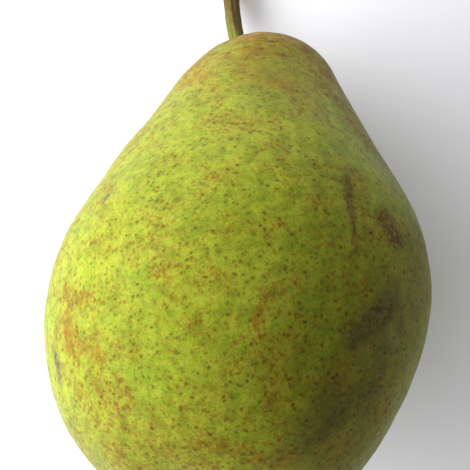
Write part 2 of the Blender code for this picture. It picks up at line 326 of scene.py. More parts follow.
def tube(path, radii, sides, level=(1.0, 0.0, 0.0)):
    """Rings of points around a path: radii holds a radius for each point of the path and each side.

    The first point of each ring stands square to the path and to the level direction.
    """
    ahead = unit(np.gradient(path, axis=0))
    side = unit(np.cross(ahead, level))
    other = np.cross(ahead, side)
    turn = np.linspace(0.0, 2 * math.pi, sides, endpoint=False)[None, :, None]
    around = np.cos(turn) * side[:, None, :] + np.sin(turn) * other[:, None, :]
    return path[:, None, :] + radii[..., None] * around


def closed_grid(grid, first_pole, last_pole):
    """Points and faces of a closed body: rings joined by quads, with a fan to a pole at each end."""
    rings, sides = grid.shape[:2]
    points = np.concatenate((grid.reshape(-1, 3), (first_pole, last_pole)))
    i = np.arange(sides)
    j = (i + 1) % sides
    row = np.arange(rings - 1)[:, None] * sides
    quads = np.stack((row + i, row + j, row + sides + j, row + sides + i), axis=-1).reshape(-1, 4)
    first = np.stack((np.full(sides, rings * sides), j, i), axis=-1)
    end = (rings - 1) * sides
    last = np.stack((end + i, end + j, np.full(sides, rings * sides + 1)), axis=-1)
    return points, quads.tolist() + first.tolist() + last.tolist()


def add_piece(name, bodies, attributes=None):
    """A smooth mesh object at the origin from one or more closed bodies of (points, faces)."""
    points, faces, start = [], [], 0
    for body_points, body_faces in bodies:
        points.append(body_points)
        faces += [[corner + start for corner in face] for face in body_faces]
        start += len(body_points)
    mesh = bpy.data.meshes.new(name)
    mesh.from_pydata(np.concatenate(points).tolist(), [], faces)
    for key, values in (attributes or {}).items():
        layer = mesh.attributes.new(key, "FLOAT", "POINT")
        layer.data.foreach_set("value", np.asarray(values, np.float32))
    mesh.shade_smooth()
    mesh.update()
    piece = bpy.data.objects.new(name, mesh)
    bpy.context.scene.collection.objects.link(piece)
    return piece


# --------------------------------------------------------------------------------------------------
# The fruit's shape


def outer_outline(sizes, steps=200):
    """The outline (radius, height) from the rim of the eye to the top: blunt base, flank and round head.

    The base and the flank are cubic curves that meet upright at the belly. The head is an arc of a circle,
    and the flank runs straight on into it.
    """
    head_centre = sizes.pear_length - sizes.head_radius
    lean = np.array((math.cos(sizes.head_blend), math.sin(sizes.head_blend)))
    blend = np.array((0.0, head_centre)) + sizes.head_radius * lean
    up_the_neck = np.array((-lean[1], lean[0]))
    belly = np.array((sizes.belly_radius, sizes.belly_height))
    flank_length = np.linalg.norm(blend - belly)
    base = bezier(
        (
            (sizes.eye_radius, 0.0),
            (sizes.eye_radius + sizes.base_reach * (sizes.belly_radius - sizes.eye_radius), 0.0),
            (sizes.belly_radius, sizes.belly_height * (1.0 - sizes.belly_drop)),
            belly,
        ),
        steps,
    )
    flank = bezier(
        (
            belly,
            belly + np.array((0.0, sizes.belly_rise * flank_length)),
            blend - sizes.neck_reach * flank_length * up_the_neck,
            blend,
        ),
        steps,
    )
    turn = np.linspace(sizes.head_blend, math.pi / 2, steps)
    out, up = sizes.head_radius * np.cos(turn), sizes.head_radius * np.sin(turn)
    head = np.stack((out, head_centre + up), axis=1)
    return np.concatenate((base[:-1], flank[:-1], head))


def eye_outline(sizes, steps=80):
    """The outline (radius, height) of the eye's floor and wall, from near its middle out to the rim."""
    floor = np.linspace(
        (EYE_MIDDLE_RADIUS, sizes.eye_depth), (sizes.eye_floor_radius, sizes.eye_depth), steps
    )
    bend = EYE_WALL_BEND * (sizes.eye_radius - sizes.eye_floor_radius)
    wall = bezier(
        (
            (sizes.eye_floor_radius, sizes.eye_depth),
            (sizes.eye_floor_radius + bend, sizes.eye_depth),
            (sizes.eye_radius - bend, 0.0),
            (sizes.eye_radius, 0.0),
        ),
        steps,
    )
    return np.concatenate((floor[:-1], wall))


def core_sway(sizes, heights):
    """How far the core line stands to +X at these heights."""
    shoulder = sizes.belly_height + SHOULDER_ABOVE_BELLY
    neck = sizes.pear_length - NECK_BELOW_TOP
    knots = (0.0, sizes.belly_height, shoulder, neck, sizes.pear_length)
    return smooth_through(knots, CORE_SWAYS, heights)


def turned(sizes, outline, sides):
    """The outline turned about the swaying core line, on the standing pear."""
    turn = np.linspace(0.0, 2 * math.pi, sides, endpoint=False)
    radius, height = outline[:, :1], outline[:, 1:]
    sway = core_sway(sizes, height)
    return np.stack((radius * np.cos(turn) + sway, radius * np.sin(turn), height + 0 * turn), axis=-1)


def laid_down(sizes, points):
    """Points of the standing pear, laid on its side and slid to where the frame's fruit lies."""
    lean = math.pi / 2 + sizes.resting_tilt
    turn = np.array(
        ((1.0, 0.0, 0.0), (0.0, math.cos(lean), math.sin(lean)), (0.0, -math.sin(lean), math.cos(lean)))
    )
    bare = turned(sizes, outer_outline(sizes), FRUIT_SIDES) @ turn.T
    bare = bare.reshape(-1, 3)
    low, high = (np.array(corner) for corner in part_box("fruit"))
    middle_x = 0.5 * (low[0] + high[0] - bare[:, 0].min() - bare[:, 0].max())
    slide = np.array((middle_x, low[1] - bare[:, 1].min(), high[2] - bare[:, 2].max()))
    return np.asarray(points) @ turn.T + slide


def standing_place(sizes, height_mm, degrees):
    """A place on the standing pear's skin, from its height above the eye and its way around."""
    outer = outer_outline(sizes)
    radius = np.interp(height_mm * MM, outer[:, 1], outer[:, 0])
    turn = math.radians(degrees)
    sway = float(core_sway(sizes, height_mm * MM))
    return np.array((radius * math.cos(turn) + sway, radius * math.sin(turn), height_mm * MM))


def skin_place(sizes, height_mm, degrees):
    """The same place on the lying pear's skin, in millimetres."""
    return laid_down(sizes, standing_place(sizes, height_mm, degrees)) / MM


def stem_seat(sizes):
    """Where the stem meets the head on the standing pear, and which way it leaves."""
    across = math.sin(sizes.stem_side)
    down = math.sin(sizes.stem_drop)
    heading = np.array((-across, down, math.sqrt(1.0 - across**2 - down**2)))
    sway = float(core_sway(sizes, sizes.pear_length))
    centre = np.array((sway, 0.0, sizes.pear_length - sizes.head_radius))
    return centre + heading * sizes.head_radius, heading


# Low swells and hollows of the flesh: height in mm, way around in degrees, reach in mm, lift in mm.
SWELLS = (
    (35, 199, 15, -0.75),
    (67, 200, 7, 0.5),
    (87, 203, 5, 0.45),
    (98, 205, 5, -0.6),
    (70, 322, 8, -0.6),
    (41, 354, 10, 0.7),
)


def fruit_relief(sizes, grid):
    """How far the flesh stands proud of the plain turned shape, in metres.

    Five soft lobes follow a cosine of the way around and fade away from the eye. A low unevenness runs all
    over: two sums of sines. Each swell is a bell curve of the distance from its place. All of these fade to
    nothing towards the middle of the eye. The collar and the ring around the stem's foot are bell curves of
    the distance from it.
    """
    middle = np.array((float(core_sway(sizes, 0.0)), 0.0, 0.0))
    from_eye = np.linalg.norm(grid - middle, axis=-1)
    way = np.arctan2(grid[..., 1], grid[..., 0])
    around = LOBE_LIFT * np.cos(LOBE_COUNT * way + LOBE_TURN)
    lobes = around * np.exp(-(((from_eye - LOBE_PLACE) / LOBE_REACH) ** 2))
    uneven = UNEVEN_LIFT * waves(grid, longest=26 * MM, shortest=7 * MM, count=26, seed=5)
    dimples = DIMPLE_LIFT * waves(grid, longest=6 * MM, shortest=2.2 * MM, count=18, seed=11)
    seat = stem_seat(sizes)[0]
    from_seat = np.linalg.norm(grid - seat, axis=-1)
    collar = COLLAR_LIFT * np.exp(-((from_seat / COLLAR_REACH) ** 2))
    ring = RING_DEPTH * np.exp(-(((from_seat - RING_PLACE) / RING_REACH) ** 2))
    inside_eye = np.clip(from_eye / sizes.eye_radius, 0.0, 1.0)
    swells = 0.0
    for height, way_round, reach, lift in SWELLS:
        from_swell = np.linalg.norm(grid - standing_place(sizes, height, way_round), axis=-1) / MM
        swells = swells + lift * MM * np.exp(-((from_swell / reach) ** 2))
    return (lobes + uneven + dimples + swells) * inside_eye**2 + collar - ring


def fruit_skin(sizes):
    """The fruit's closed skin: the outline turned about the core line, raised by the relief and laid down.

    Points that would lie below the ground are brought up to it, so the skin is flat where it rests.
    """
    outline = np.concatenate((eye_outline(sizes)[:-1], outer_outline(sizes)[:-1]))
    outline = evenly_spaced(outline, FRUIT_RINGS)
    grid = turned(sizes, outline, FRUIT_SIDES)
    grid = grid + fruit_relief(sizes, grid)[..., None] * outward(grid)
    lying = laid_down(sizes, grid)
    lying[..., 2] = np.maximum(lying[..., 2], 0.0)
    return closed_grid(lying, lying[0].mean(axis=0), lying[-1].mean(axis=0))


# --------------------------------------------------------------------------------------------------
# Finishes


class Finish:
    """One material's node tree, with short calls that add a node and hand back its result."""

    def __init__(self, name):
        self.material = bpy.data.materials.new(name)
        self.material.use_nodes = True
        self.tree = self.material.node_tree
        self.surface = self.tree.nodes["Principled BSDF"]
        place = self.tree.nodes.new("ShaderNodeTexCoord").outputs["Object"]
        self.place = self.vector("SCALE", place, scale=1.0 / MM)

    def feed(self, socket, value):
        """Links a result to the socket, or sets the socket to a plain value."""
        if isinstance(value, bpy.types.NodeSocket):
            self.tree.links.new(value, socket)
        elif socket.type == "RGBA":
            socket.default_value = (*value[:3], 1.0)
        else:
            socket.default_value = value

    def add(self, kind, inputs, output=0, **settings):
        """Adds a node with these inputs and settings, and hands back one of its outputs."""
        node = self.tree.nodes.new(kind)
        for name, value in settings.items():
            setattr(node, name, value)
        for name, value in inputs.items():
            self.feed(node.inputs[name], value)
        return node.outputs[output]

    def vector(self, operation, a, b=None, scale=None):
        inputs = {0: a}
        if b is not None:
            inputs[1] = b
        if scale is not None:
            inputs[3] = scale
        output = 1 if operation in ("LENGTH", "DOT_PRODUCT", "DISTANCE") else 0
        return self.add("ShaderNodeVectorMath", inputs, output, operation=operation)

    def math(self, operation, a, b=0.0, clamp=False):
        return self.add("ShaderNodeMath", {0: a, 1: b}, operation=operation, use_clamp=clamp)

    def noise(self, place, size_mm, detail=2.0, roughness=0.5, distortion=0.0):
        """Soft noise around 0.5, with this typical size in millimetres."""
        inputs = {
            "Vector": place,
            "Scale": 1.0 / size_mm,
            "Detail": detail,
            "Roughness": roughness,
            "Distortion": distortion,
        }
        return self.add("ShaderNodeTexNoise", inputs)

    def cells(self, place, size_mm):
        """The distance in millimetres to the nearest of scattered points, this far apart."""
        inputs = {"Vector": place, "Scale": 1.0 / size_mm, "Randomness": 1.0}
        return self.math("MULTIPLY", self.add("ShaderNodeTexVoronoi", inputs), size_mm)

    def span(self, value, start, end, low=0.0, high=1.0):
        """A smooth step: low at start, high at end."""
        inputs = {"Value": value, 1: start, 2: end, 3: low, 4: high}
        return self.add("ShaderNodeMapRange", inputs, interpolation_type="SMOOTHSTEP")

    def mix(self, amount, a, b):
        """A colour from a to b."""
        return self.add("ShaderNodeMix", {0: amount, 6: a, 7: b}, 2, data_type="RGBA")

    def blend_value(self, amount, a, b):
        """A plain value from a to b."""
        return self.add("ShaderNodeMix", {0: amount, 2: a, 3: b}, 0, data_type="FLOAT")

    def stroke(self, place, a, b):
        """The distance from the straight stretch between two places, or from the place itself."""
        a, b = np.array(a), np.array(b)
        from_a = self.vector("SUBTRACT", place, tuple(a))
        if np.allclose(a, b):
            return self.vector("LENGTH", from_a)
        line = b - a
        along = self.vector("DOT_PRODUCT", from_a, tuple(line / (line @ line)))
        along = self.math("MINIMUM", self.math("MAXIMUM", along, 0.0), 1.0)
        foot = self.vector("SCALE", tuple(line), scale=along)
        return self.vector("LENGTH", self.vector("SUBTRACT", from_a, foot))

    def attribute(self, name):
        """The value that the piece's points carry under this name."""
        return self.add("ShaderNodeAttribute", {}, 2, attribute_name=name)

    def bump(self, height, depth_mm, strength=1.0):
        """A normal that follows the height, which is depth_mm high where it is one."""
        inputs = {"Height": height, "Distance": depth_mm * MM, "Strength": strength}
        return self.add("ShaderNodeBump", inputs)

    def done(self, **inputs):
        """Feeds the shader's own sockets and hands back the material."""
        for name, value in inputs.items():
            self.feed(self.surface.inputs[name.replace("_", " ")], value)
        return self.material


# Patches of russet. Each runs from one place on the skin to another: height in mm and way around in degrees,
# twice, then its half width in mm and its strength.
RUSSET_PATCHES = (
    (31, 209, 28, 221, 4.0, 0.80),
    (27, 210, 21, 213, 4.2, 0.96),
    (20, 214, 18.5, 226, 4.4, 0.76),
    (16, 222, 9, 226, 4.5, 0.62),
    (15, 230, 10, 235, 2.6, 0.78),
    (7, 228, 2, 262, 5.0, 0.56),
    (5, 262, 5, 306, 5.5, 0.72),
    (28.5, 277.5, 23, 278, 3.0, 0.92),
    (20, 283, 11, 289, 3.6, 0.62),
    (33, 248, 28, 252, 5.0, 0.50),
    (87, 214, 85, 230, 5.0, 0.74),
    (96, 235, 95, 300, 6.0, 0.66),
    (84, 305, 72, 320, 6.0, 0.70),
    (66, 270, 65, 273, 1.6, 0.95),
    (51.5, 217, 49, 216, 3.4, 0.80),
    (59, 300, 44, 305, 4.0, 0.56),
    (80, 208, 54, 212, 5.0, 0.56),
    (13, 212, 7, 220, 5.0, 0.60),
    (33, 262, 30, 266, 3.0, 0.60),
)

# Red-brown rubs, the same way: a long one, and a bruise with its core.
RUBS = (
    (57, 296, 50, 297.5, 1.7, 0.92),
    (51, 297.5, 42, 301.5, 1.5, 0.86),
    (51.4, 311.0, 48.6, 316.5, 4.4, 1.00),
    (50.6, 312.0, 48.8, 315.5, 3.4, 1.00),
)

# Grey-brown stains, the same way: a slanting blot, and below it a dark band that is partly stain and partly
# painted shade.
STAINS_AND_SHADE = (
    (27.0, 308, 35, 319, 4.8, 0.92),
    (38, 320, 33, 326, 4.0, 0.56),
    (27.5, 323, 18, 322, 5.5, 0.62),
    (17.5, 307, 8, 305, 5.0, 0.56),
    (16.9, 315.5, 10, 312, 4.5, 0.58),
)

# Where the skin is greyed to a dull brown, the same way: down one side, and around the neck and the head.
# This grey is partly the skin's own colour and partly painted shade, on the side away from the light and
# where the neck and head are darkened against the sheen.
DULL_AND_SHADED_SKIN = (
    (48, 332, 8, 325, 17.0, 0.66),
    (36, 316, 14, 312, 15.0, 0.70),
    (90, 325, 66, 330, 9.0, 0.52),
    (60, 292, 20, 292, 12.0, 0.26),
    (86, 265, 76, 275, 13.0, 0.46),
    (98, 240, 97, 300, 9.0, 0.46),
)

# Healed grey scratches, the same way.
SCARS = (
    (50.3, 220.5, 49.0, 218.5, 1.2, 1.00),
    (20.5, 199.5, 16.8, 198.5, 2.4, 0.90),
)


def skin_finish(sizes, colours):
    """Waxy pear skin under a faint bloom: a yellow-green ground with golden russet speckle, which thickens at
    both ends and in placed patches, soft dark dots with a russet rim, brown stains and healed scratches.
    A grey-brown side and a dark band below the blot are partly painted shade."""
    skin = Finish("pear_skin")
    place = skin.place
    lean = math.pi / 2 + sizes.resting_tilt

    def astray(size_mm, reach_mm):
        """The skin's places, each moved a little at random."""
        inputs = {"Vector": place, "Scale": 1 / size_mm, "Detail": 3.0}
        drift = skin.add("ShaderNodeTexNoise", inputs, 1)
        drift = skin.vector("SUBTRACT", drift, (0.5, 0.5, 0.5))
        return skin.vector("ADD", place, skin.vector("SCALE", drift, scale=reach_mm))

    def stretched(points, across, along):
        """Places scaled across and along the pear, so that a pattern read there is drawn out."""
        inputs = {"Vector": points, "Rotation": (lean, 0.0, 0.0), "Scale": (across, across, along)}
        return skin.add("ShaderNodeMapping", inputs)

    def strokes(table, points, edge):
        """How strongly a table's marks show, fading from a share of the half width out to all of it."""
        total = None
        for height, way, to_height, to_way, half_width, strength in table:
            a, b = skin_place(sizes, height, way), skin_place(sizes, to_height, to_way)
            away = skin.stroke(points, a, b)
            near = skin.span(away, half_width, edge * half_width, 0.0, strength)
            total = near if total is None else skin.math("MAXIMUM", total, near)
        return total

    ragged = astray(3.0, 7.0)
    frayed = astray(1.0, 1.8)
    shaken = astray(0.55, 0.8)

    # The ground drifts between green and yellow, over centimetres and over a few millimetres, and is greyed
    # to a dull brown in places, partly as painted shade.
    drift = skin.noise(place, DRIFT_SIZE, 2.0, 0.5)
    mottle = skin.noise(place, MOTTLE_SIZE, 5.0, 0.7)
    ripeness = skin.math("ADD", skin.math("MULTIPLY", drift, 0.55), skin.math("MULTIPLY", mottle, 0.9))
    ground = skin.mix(skin.span(ripeness, 0.56, 0.90), colours.green, colours.yellow)
    dull_and_shade = strokes(DULL_AND_SHADED_SKIN, ragged, 0.0)
    ground = skin.mix(dull_and_shade, ground, colours.dull_and_shade)

    # How thick the russet lies: more at the head, at the eye, in clouds and in the placed patches.
    head = skin_place(sizes, sizes.pear_length / MM - 1.0, 250)
    eye = laid_down(sizes, (float(core_sway(sizes, 0.0)), 0.0, 0.0)) / MM
    at_head = skin.span(skin.stroke(ragged, head, head), HEAD_RUSSET_REACH, 4.0)
    at_eye = skin.span(skin.stroke(ragged, eye, eye), EYE_RUSSET_REACH, 8.0)
    cloud = skin.math("SUBTRACT", skin.noise(frayed, CLOUD_SIZE, 4.0, 0.6), 0.5)
    cloud = skin.math("MULTIPLY", cloud, 2.0)
    thick = skin.math("ADD", skin.math("ADD", cloud, 0.22), skin.math("MULTIPLY", at_head, 0.58))
    thick = skin.math("ADD", thick, skin.math("MULTIPLY", at_eye, 0.26))
    thick = skin.math("MAXIMUM", thick, strokes(RUSSET_PATCHES, ragged, 0.1))

    # The russet's own grain: streaks along the belly, dashes around the head, speckle everywhere.
    streaks = skin.noise(stretched(frayed, 1.0, 0.35), GRAIN_SIZE, 4.0, 0.68)
    dashes = skin.noise(stretched(frayed, 0.36, 1.2), GRAIN_SIZE, 3.0, 0.6)
    run = skin.blend_value(at_head, streaks, dashes)
    speckle = skin.noise(place, SPECKLE_SIZE, 4.0, 0.72)
    grain = skin.math("ADD", skin.math("MULTIPLY", run, 0.5), skin.math("MULTIPLY", speckle, 0.5))

    # Soft dots, each with a rim where russet gathers, and finer specks between them.
    round_dots = skin.cells(shaken, DOT_SPACING)
    long_dots = skin.cells(stretched(shaken, 0.34, 1.05), LONG_DOT_SPACING)
    dot_distance = skin.blend_value(at_head, round_dots, long_dots)
    strong = skin.span(skin.noise(place, 2.4, 2.0, 0.5), 0.34, 0.60, 0.32, 0.80)
    strong = skin.math("ADD", strong, skin.math("MULTIPLY", at_head, 0.24))
    strong = skin.math("ADD", strong, skin.math("MULTIPLY", dull_and_shade, 0.40), clamp=True)
    dot = skin.math("MULTIPLY", skin.span(dot_distance, DOT_RADIUS, 0.05), strong)
    speck = skin.span(skin.cells(shaken, SPECK_SPACING), SPECK_RADIUS, 0.06, 0.0, 0.42)
    gathered = skin.span(dot_distance, 1.1, 0.3, 0.0, 0.06)

    laid = skin.math("ADD", skin.math("ADD", grain, gathered), skin.math("MULTIPLY", thick, 0.24))
    ground = skin.mix(skin.span(laid, 0.48, 0.76, 0.0, 0.7), ground, colours.tan)
    russet = skin.span(laid, 0.60, 0.80, 0.0, 0.75)
    ground = skin.mix(russet, ground, colours.russet)
    browner = skin.span(laid, 0.48, 0.68)
    dark = skin.mix(browner, colours.lenticel, colours.dot_brown)
    ground = skin.mix(skin.math("MAXIMUM", dot, speck), ground, dark)

    # The eye's floor is dead and brown where the flower dried.
    floor = laid_down(sizes, eye_floor(sizes)) / MM
    floor_reach = 1.9 * sizes.eye_floor_radius / MM
    dead = skin.span(skin.stroke(frayed, floor, floor), floor_reach, 0.8, 0.0, 0.9)
    ground = skin.mix(dead, ground, colours.dead)

    # Stains, whose lower band is partly painted shade, and scratches fray along the grain.
    uneven = skin.span(grain, 0.38, 0.60, 0.30, 1.0)
    stains_and_shade = skin.math("MULTIPLY", strokes(STAINS_AND_SHADE, frayed, 0.15), uneven)
    ground = skin.mix(stains_and_shade, ground, colours.stain_and_shade)
    rubs = skin.math("MULTIPLY", strokes(RUBS, frayed, 0.2), uneven)
    ground = skin.mix(rubs, ground, colours.rub)
    scars = skin.math("MULTIPLY", strokes(SCARS, frayed, 0.2), uneven)
    ground = skin.mix(scars, ground, colours.scar)

    # A very fine grain in the wax, and cork that is duller than the green skin.
    powder = skin.noise(place, POWDER_SIZE, 2.0, 0.6)
    grainy = skin.span(powder, 0.25, 0.75, 0.86, 1.14)
    cloudy = skin.span(mottle, 0.32, 0.64, 0.82, 1.1)
    ground = skin.vector("SCALE", ground, scale=skin.math("MULTIPLY", grainy, cloudy))
    corky = skin.math("MAXIMUM", skin.math("MAXIMUM", russet, rubs), skin.math("MAXIMUM", stains_and_shade, scars))
    roughness = skin.blend_value(corky, 0.5, 0.75)
    pores = skin.math("SUBTRACT", skin.math("MULTIPLY", corky, 0.6), skin.math("MULTIPLY", dot, 0.4))
    height = skin.math("ADD", pores, skin.math("MULTIPLY", powder, 0.35))
    return skin.done(
        Base_Color=ground,
        Roughness=roughness,
        Normal=skin.bump(height, 0.06, 0.7),
        Specular_IOR_Level=0.05,
        Sheen_Weight=0.08,
        Sheen_Roughness=0.5,
    )


# --------------------------------------------------------------------------------------------------
# The stem


def stem_line(sizes):
    """The stem's centre line on the lying pear: out of the head, then down to run just above the ground."""
    seat, heading = stem_seat(sizes)
    start = laid_down(sizes, seat - heading * sizes.stem_sunk)
    heading = unit(laid_down(sizes, seat) - start)
    along = np.array((-math.sin(sizes.stem_tip_heading), math.cos(sizes.stem_tip_heading), 0.0))
    tip = start + unit(unit(heading * (1.0, 1.0, 0.0)) + along) * sizes.stem_reach
    tip[2] = sizes.stem_knob_radius + sizes.stem_ground_gap
    bend = STEM_BEND * sizes.stem_reach
    line = bezier((start, start + heading * bend, tip - along * bend, tip), 4 * STEM_RINGS)
    return evenly_spaced(line, STEM_RINGS)


def stem_skin(sizes):
    """The stem as a tube along its line: a flared foot, low ribs that twist a little, and a lumpy knob with a
    round end and a sunken scar. The flare and the knob are bell curves of the way along, the ribs are sines
    of the way around, and the lumps are a sum of sines. Also says how far along, in mm, and how far to +X, in
    radii, each point is."""
    line = stem_line(sizes)
    run = run_along(line)[:, None]
    turn = np.linspace(0.0, 2 * math.pi, STEM_SIDES, endpoint=False)[None, :]
    foot = (sizes.stem_foot_radius - sizes.stem_radius) * np.exp(-((run / FLARE_REACH) ** 2))
    knob_run = (run[-1] - run) / sizes.stem_knob_length
    knob = (sizes.stem_knob_radius - sizes.stem_radius) * np.exp(-(knob_run**2))
    ribs = RIB_LIFT * np.cos(6 * turn + run / RIB_TWIST)
    ribs = ribs + FINE_RIB_LIFT * np.cos(11 * turn - run / FINE_RIB_TWIST + 1.0)
    grid = tube(line, sizes.stem_radius + foot + knob + ribs, STEM_SIDES)
    lumps = LUMP_LIFT * waves(grid, longest=9 * MM, shortest=1.2 * MM, count=20, seed=3)
    grid = grid + lumps[..., None] * outward(grid)
    ahead = unit(line[-1] - line[-2])
    edge = grid[-1]
    middle = edge.mean(axis=0)
    t = np.linspace(0.0, 1.0, STEM_END_RINGS + 2)[1:-1, None, None]
    shrink = np.cos(t * math.pi / 2) ** 0.8
    rise = END_RISE * np.sin(t * math.pi) - END_SINK * t**3
    cap = middle + (edge - middle) * shrink + ahead * rise
    grid = np.concatenate((grid, cap))
    points, faces = closed_grid(grid, grid[0].mean(axis=0), grid[-1].mean(axis=0))
    end_run = run[-1, 0] + 0.1 * MM * np.arange(1, STEM_END_RINGS + 1)
    whole_run = np.concatenate((run[:, 0], end_run))
    centres = np.concatenate((line, np.repeat(line[-1:], STEM_END_RINGS, axis=0)))
    # +X is the side away from the light, which the finish browns partly as painted shade.
    sideways = ((grid - centres[:, None, :])[..., 0] / sizes.stem_radius).reshape(-1)
    attributes = {
        "along_mm": np.concatenate((np.repeat(whole_run, STEM_SIDES), (0.0, whole_run[-1]))) / MM,
        "woody_and_shaded_side": np.concatenate((sideways, (0.0, 0.0))),
    }
    return (points, faces), attributes


def stem_finish(sizes, colours):
    """Young wood: olive green at the foot and on the side towards the light, and brown on the other side,
    partly older wood and partly painted shade. Corky at the broken end.
    """
    wood = Finish("stem_bark")
    along = wood.attribute("along_mm")
    grain = wood.noise(wood.place, 1.3, 4.0, 0.65, 0.4)
    fine = wood.noise(wood.place, 0.35, 3.0, 0.6)
    wander = wood.math("MULTIPLY", wood.math("SUBTRACT", grain, 0.5), 1.1)
    # The side away from the light, at +X, turns brown: partly older wood, partly painted shade.
    side = wood.math("ADD", wood.attribute("woody_and_shaded_side"), wander)
    ageing = wood.math("MULTIPLY", wood.math("SUBTRACT", along, 6.5), 0.13)
    woody_and_shade = wood.span(wood.math("ADD", side, ageing), -0.6, 0.7)
    base = wood.mix(woody_and_shade, colours.stem_green, colours.stem_brown)
    pits = wood.span(wood.cells(wood.place, 0.9), 0.30, 0.12, 0.0, 0.6)
    base = wood.mix(pits, base, tuple(0.5 * c for c in colours.stem_brown))
    tip = run_along(stem_line(sizes))[-1] / MM
    ragged_run = wood.math("ADD", along, wood.math("MULTIPLY", grain, 1.2))
    base = wood.mix(wood.span(ragged_run, tip + 0.3, tip + 1.2), base, colours.cork)
    flecks = wood.span(fine, 0.35, 0.7, 0.0, 0.4)
    base = wood.mix(flecks, base, tuple(0.55 * c for c in colours.stem_brown))
    height = wood.math("ADD", wood.math("MULTIPLY", grain, 0.6), wood.math("MULTIPLY", fine, 0.4))
    return wood.done(
        Base_Color=base,
        Roughness=wood.span(grain, 0.3, 0.7, 0.55, 0.8),
        Normal=wood.bump(height, 0.18),
        Specular_IOR_Level=0.2,
    )


# --------------------------------------------------------------------------------------------------
# The dried flower in the eye


def eye_floor(sizes):
    """The middle of the eye's floor, on the standing pear."""
    return np.array((float(core_sway(sizes, sizes.eye_depth)), 0.0, sizes.eye_depth))


def sepal_skin(sizes, number):
    """One dried sepal: a thin strip with an oval section, widest at its root, that rises from the eye's
    floor, curls outwards, twists a little and ends in a point with a wavy edge. Its middle line turns evenly
    faster along it, and its section sags to a shallow trough."""
    draw = np.random.default_rng(40 + number)
    way = 2 * math.pi * (number - 0.5) / sizes.sepal_count
    curl = math.radians(draw.uniform(150, 215))
    t = np.linspace(0.0, 1.0, SEPAL_RINGS)
    heading = math.radians(4.0) + curl * t**1.5
    step = sizes.sepal_length * draw.uniform(0.88, 1.05) / (SEPAL_RINGS - 1)
    reach = sizes.sepal_root_radius + np.concatenate(((0.0,), np.cumsum(np.sin(heading[:-1]) * step)))
    rise = np.concatenate(((0.0,), np.cumsum(np.cos(heading[:-1]) * step)))
    half_width = 0.5 * sizes.sepal_width * (1.0 - 0.9 * t**1.4) * (1.0 + 0.08 * np.sin(17 * t + number))
    half_thick = SEPAL_HALF_THICKNESS * (1.0 - 0.6 * t)
    turn = np.linspace(0.0, 2 * math.pi, SEPAL_SIDES, endpoint=False)
    across = half_width[:, None] * np.cos(turn)
    through = half_thick[:, None] * np.sin(turn)
    trough = 0.35 * (across**2) / sizes.sepal_width
    through = through - trough + SEPAL_RIPPLE * np.sin(9 * t[:, None] + 3 * np.cos(turn) + number)
    twist = (draw.uniform(-0.5, 0.5) * t)[:, None]
    c, s = np.cos(twist), np.sin(twist)
    across, through = across * c - through * s, across * s + through * c
    out = reach[:, None] + through * np.cos(heading)[:, None]
    up = rise[:, None] - through * np.sin(heading)[:, None]
    radial = np.array((math.cos(way), math.sin(way), 0.0))
    sideways = np.array((-math.sin(way), math.cos(way), 0.0))
    standing = eye_floor(sizes) + out[..., None] * radial + across[..., None] * sideways
    standing = standing - (up + SEPAL_LIFT)[..., None] * UP
    grid = laid_down(sizes, standing)
    return closed_grid(grid[:, ::-1], grid[0].mean(axis=0), grid[-1].mean(axis=0))


def stamen_skins(sizes):
    """The dried stamens: thin threads that rise from the middle of the eye, lean outwards and end in a small
    swollen head. Each stands a golden angle on from the last, further out by the square root of its
    number."""
    draw = np.random.default_rng(12)
    bodies = []
    for i in range(sizes.stamen_count):
        part = (i + 0.5) / sizes.stamen_count
        way = i * GOLDEN_ANGLE
        root = TUFT_RADIUS * math.sqrt(part)
        tall = draw.uniform(1.7, 2.9) * MM
        lean = draw.uniform(0.1, 0.9) * MM * (0.3 + part)
        sway = draw.uniform(-0.5, 0.5)
        radial = np.array((math.cos(way), math.sin(way), 0.0))
        aside = np.array((-math.sin(way), math.cos(way), 0.0))
        t = np.linspace(0.0, 1.0, THREAD_RINGS)[:, None]
        path = (root + lean * t**2) * radial + THREAD_SWAY * sway * np.sin(2.5 * t) * aside
        path = eye_floor(sizes) + path - (tall * t - THREAD_SUNK) * UP
        head = np.exp(-(((t - 0.93) / 0.07) ** 2))
        radii = (THREAD_RADIUS + THREAD_HEAD_RADIUS * head) * np.ones((1, THREAD_SIDES))
        radii[-1] *= 0.45
        grid = laid_down(sizes, tube(path, radii, THREAD_SIDES, level=(0.0, 1.0, 0.0)))
        bodies.append(closed_grid(grid, grid[0].mean(axis=0), grid[-1].mean(axis=0)))
    return bodies


def dried_finish(name, main):
    """Dead brown leaf: dark with paler dusty ridges."""
    leaf = Finish(name)
    fibre = leaf.noise(leaf.place, 0.5, 4.0, 0.65, 0.8)
    blotch = leaf.noise(leaf.place, 2.0, 2.0, 0.5)
    pale = tuple(min(1.0, 2.6 * c) for c in main)
    dark = tuple(0.45 * c for c in main)
    base = leaf.mix(leaf.span(fibre, 0.35, 0.7), dark, pale)
    base = leaf.mix(leaf.span(blotch, 0.35, 0.65, 0.1, 0.75), base, main)
    return leaf.done(
        Base_Color=base,
        Roughness=leaf.span(fibre, 0.3, 0.7, 0.7, 0.92),
        Normal=leaf.bump(fibre, 0.12),
        Specular_IOR_Level=0.25,
    )


# --------------------------------------------------------------------------------------------------
# The operators


def settle(piece, material, slot, *nodes):
    """Gives a finished piece its material and its body, and hides the frame's nodes it stands for. Its slot
    is not used.
    """
    piece.data.materials.append(material)
    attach(piece, "root")
    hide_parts(*nodes)


